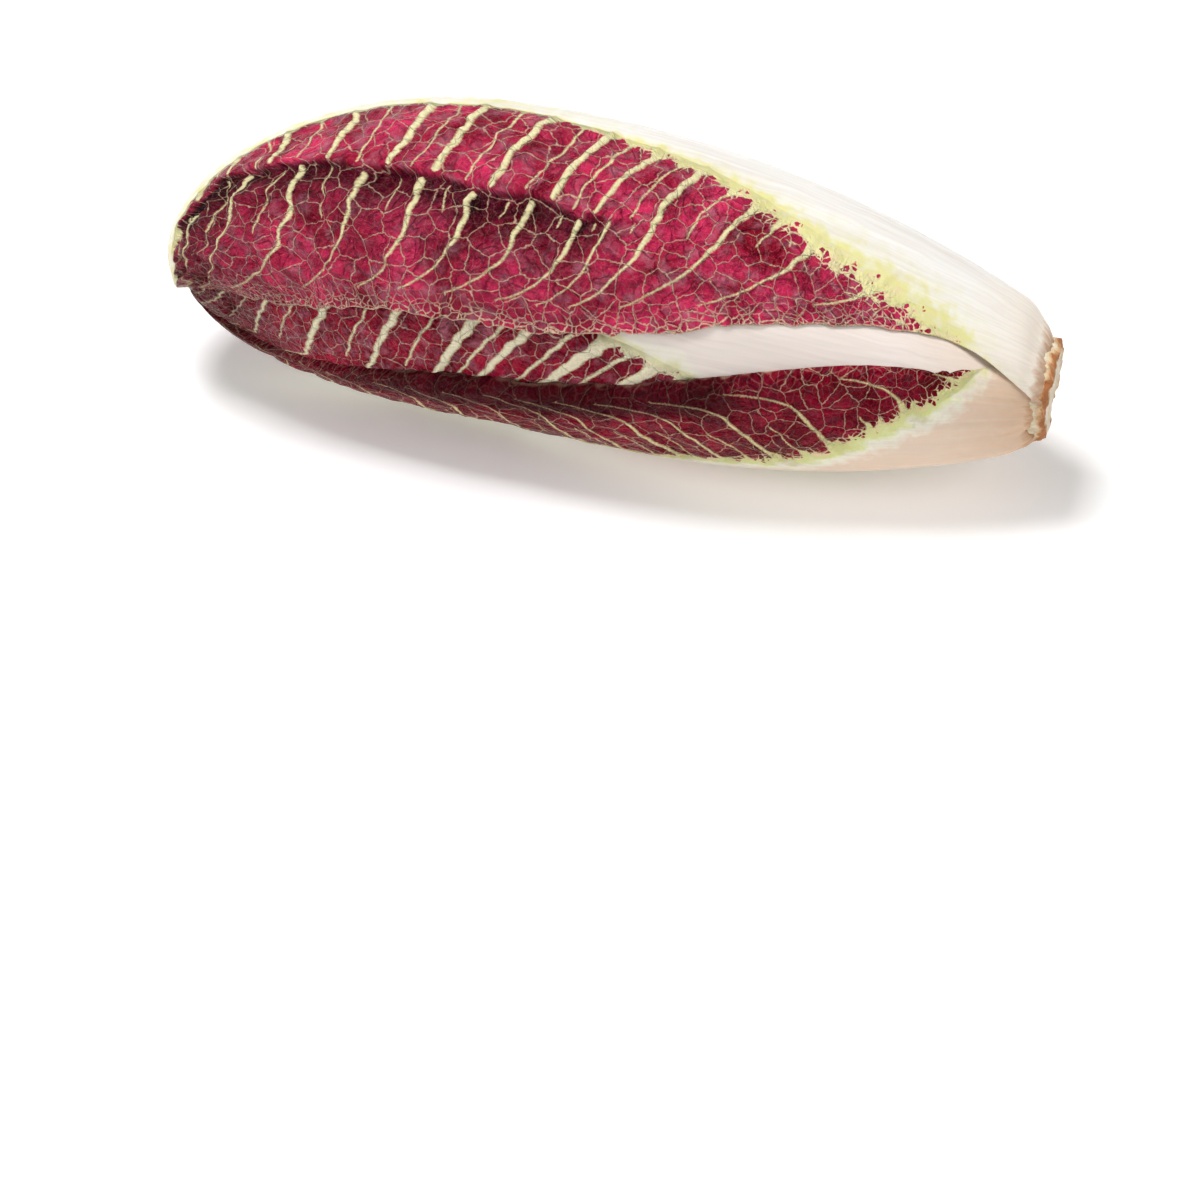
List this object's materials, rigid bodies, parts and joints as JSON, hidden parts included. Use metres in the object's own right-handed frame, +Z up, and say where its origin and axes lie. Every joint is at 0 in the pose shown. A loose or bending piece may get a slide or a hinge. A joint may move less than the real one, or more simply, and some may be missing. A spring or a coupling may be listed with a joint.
{
  "type": "radicchio head",
  "caption": "Whole elongated head of red radicchio, wine-red leaves with ivory ribs wrapped over a short cut stem, lying on its side.",
  "frame": {"origin": "on the table under the middle of the head's box, as it lies on its side", "axes": "+X along the head towards the cut butt, -X towards the leaf tips, +Z up, the side that shows best towards -Y"},
  "size_m": [0.214, 0.0748, 0.075],
  "materials": {
    "outer_leaf": "waxy leaf, wine red with ivory ribs and veins, satin",
    "inner_leaf": "crimson leaf with white ribs, satin",
    "heart_leaf": "young pink leaf, satin",
    "stem": "cut ivory stem, browned at the cut, matt"
  },
  "bodies": {
    "root": {"outer_leaf_top": "outer_leaf", "outer_leaf_underside": "outer_leaf", "outer_leaf_front": "outer_leaf", "outer_leaf_back": "outer_leaf", "inner_leaf_01": "inner_leaf", "inner_leaf_02": "inner_leaf", "inner_leaf_03": "inner_leaf", "inner_leaf_04": "inner_leaf", "inner_leaf_05": "inner_leaf", "inner_leaf_06": "inner_leaf", "inner_leaf_07": "inner_leaf", "inner_leaf_08": "inner_leaf", "inner_leaf_09": "inner_leaf", "inner_leaf_10": "inner_leaf", "inner_leaf_11": "inner_leaf", "inner_leaf_12": "inner_leaf", "inner_leaf_13": "inner_leaf", "heart_leaf_1": "heart_leaf", "heart_leaf_2": "heart_leaf", "heart_leaf_3": "heart_leaf", "stem_core": "stem"}
  },
  "joints": []
}
